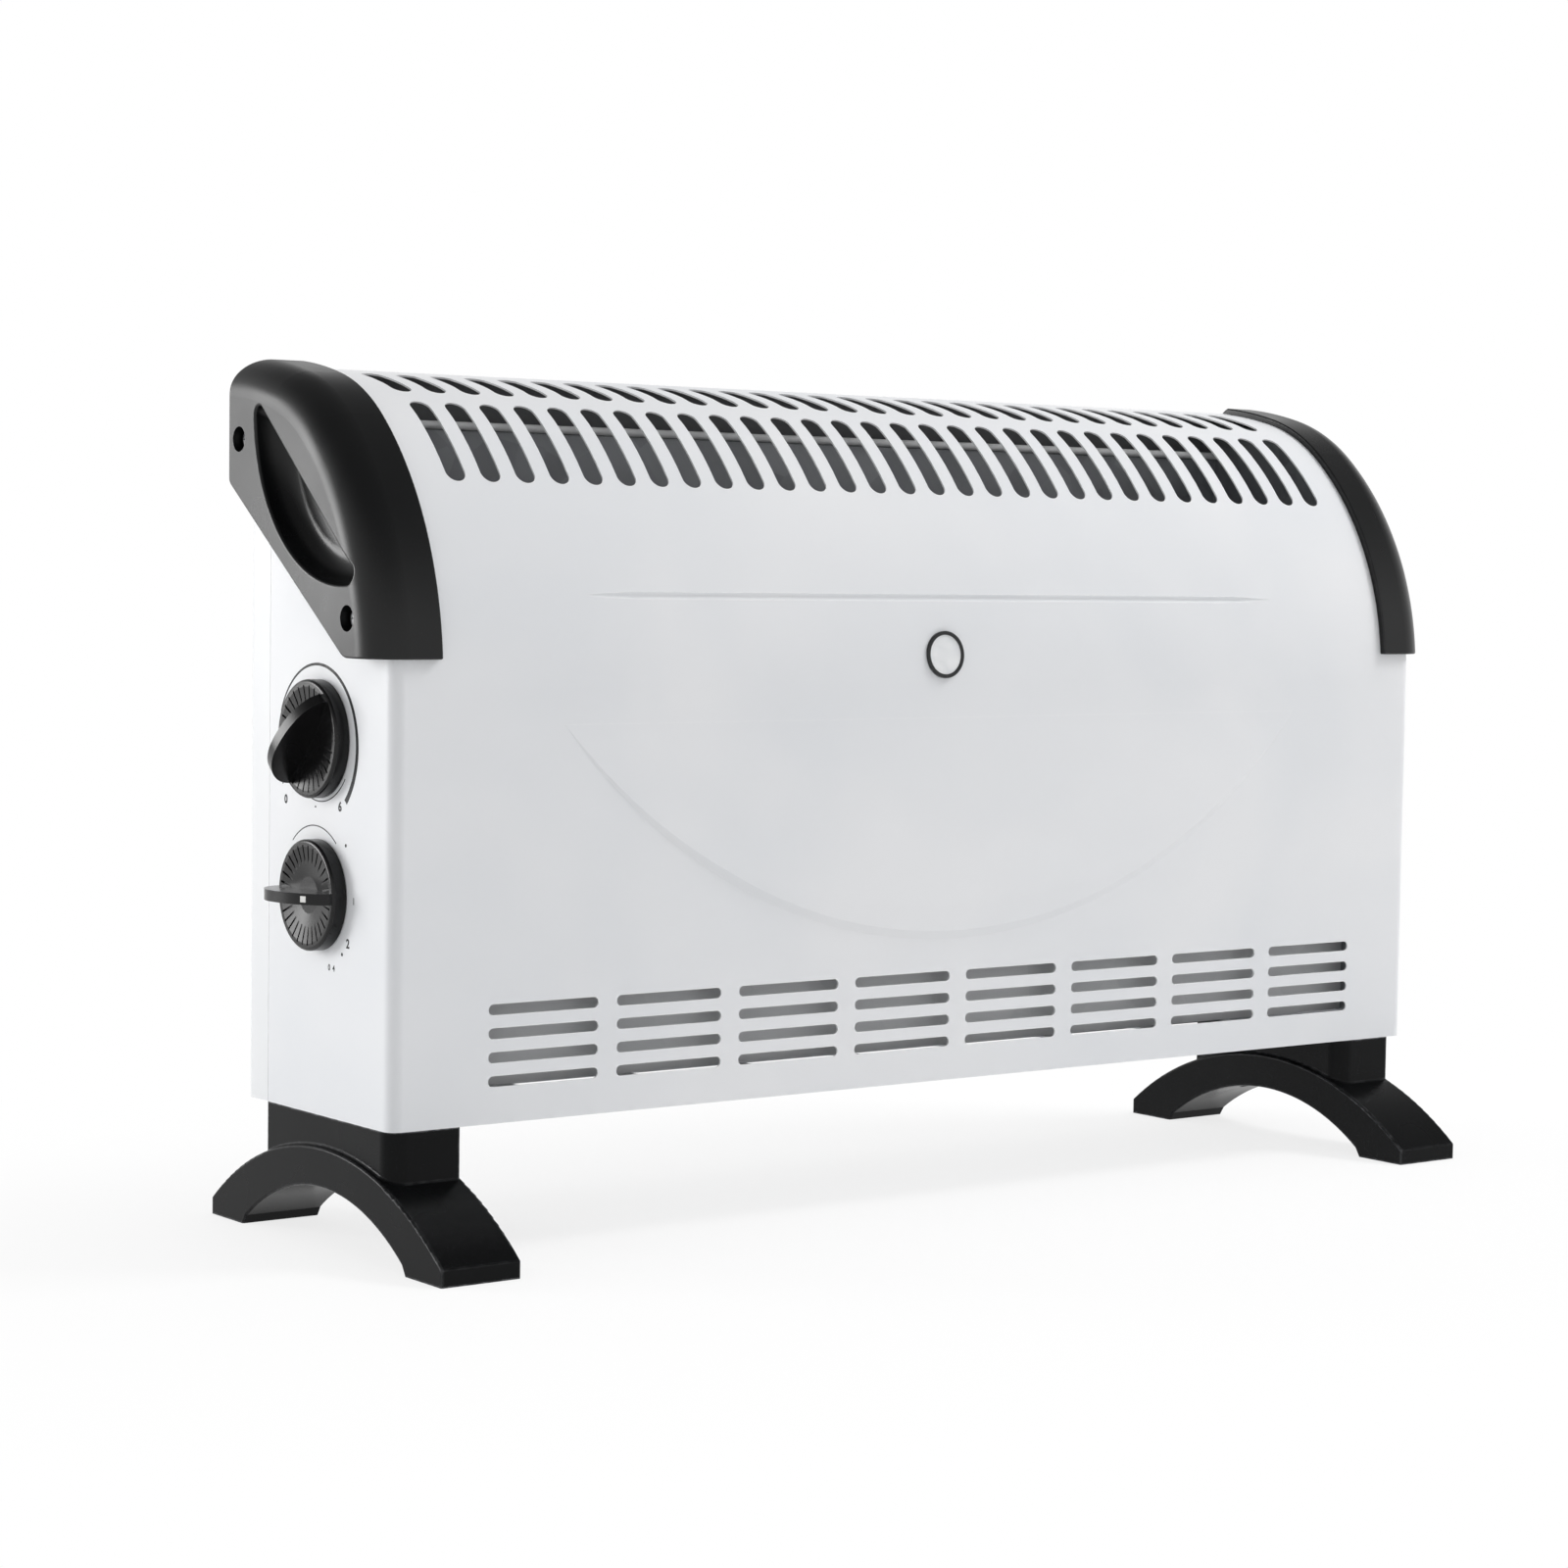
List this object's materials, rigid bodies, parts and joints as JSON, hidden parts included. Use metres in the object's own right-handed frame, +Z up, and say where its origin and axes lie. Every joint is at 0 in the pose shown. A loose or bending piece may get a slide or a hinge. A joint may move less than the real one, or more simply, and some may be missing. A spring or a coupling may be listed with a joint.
{
  "type": "convector heater",
  "caption": "Free-standing convector heater: curved slotted top, louvred front, wrap-around end caps with grip recesses, arched feet and turning side controls.",
  "frame": {"origin": "on the floor, midway along the overall length and midway between the front and rear toes", "axes": "+X along the heater, away from the controls; -Y out of the louvred front; +Z up"},
  "size_m": [0.6058, 0.189, 0.3639],
  "materials": {
    "casing_white": "smooth white powder coat",
    "cover_white": "smooth white powder coat",
    "cap_black": "satin black moulding with a fine grain",
    "foot_black": "satin black moulding",
    "knob_black": "polished black moulding",
    "mark_white": "printed white mark",
    "badge_rim_grey": "dark glossy rim",
    "badge_silver": "pale blank disc",
    "screw_zinc": "zinc plated",
    "inner_galvanised": "galvanised sheet",
    "reflector_bright": "bright rolled sheet",
    "control_body_dark": "phenolic moulding",
    "spindle_steel": "turned steel",
    "board_mica": "pressed mica board",
    "ribbon_nichrome": "oxidised resistance ribbon",
    "block_ceramic": "glazed ceramic",
    "gland_black": "moulded nylon",
    "wire_sleeve": "silicone insulation"
  },
  "bodies": {
    "heater": {"front_casing": "casing_white", "back_cover": "cover_white", "base_plate": "inner_galvanised", "left_end_cap": "cap_black", "right_end_cap": "cap_black", "end_cap_screws": "screw_zinc", "badge_bezel": "badge_rim_grey", "badge_disc": "badge_silver", "thermostat_body": "control_body_dark", "switch_body": "control_body_dark", "control_screws": "screw_zinc", "left_foot": "foot_black", "right_foot": "foot_black", "foot_screws": "screw_zinc", "left_partition": "inner_galvanised", "right_partition": "inner_galvanised", "cover_screws": "screw_zinc", "reflector": "reflector_bright", "front_liner": "inner_galvanised", "low_heat_board": "board_mica", "low_heat_ribbon": "ribbon_nichrome", "high_heat_board": "board_mica", "high_heat_ribbon": "ribbon_nichrome", "left_element_bracket": "inner_galvanised", "right_element_bracket": "inner_galvanised", "thermal_cutout": "control_body_dark", "terminal_block": "block_ceramic", "cord_gland": "gland_black", "gland_nut": "gland_black", "inner_wires": "wire_sleeve"},
    "thermostat_rotor": {"thermostat_knob": "knob_black", "thermostat_spindle": "spindle_steel"},
    "switch_rotor": {"switch_knob": "knob_black", "switch_index_mark": "mark_white", "switch_spindle": "spindle_steel"}
  },
  "joints": [
    {"name": "thermostat_turn", "type": "hinge", "parent": "heater", "child": "thermostat_rotor", "pos_m": [-0.28275, 0.0083, 0.2082], "axis": [1, 0, 0], "range_deg": [-172, 98]},
    {"name": "switch_turn", "type": "hinge", "parent": "heater", "child": "switch_rotor", "pos_m": [-0.28275, 0.0083, 0.1445], "axis": [1, 0, 0], "range_deg": [-45, 90]}
  ]
}
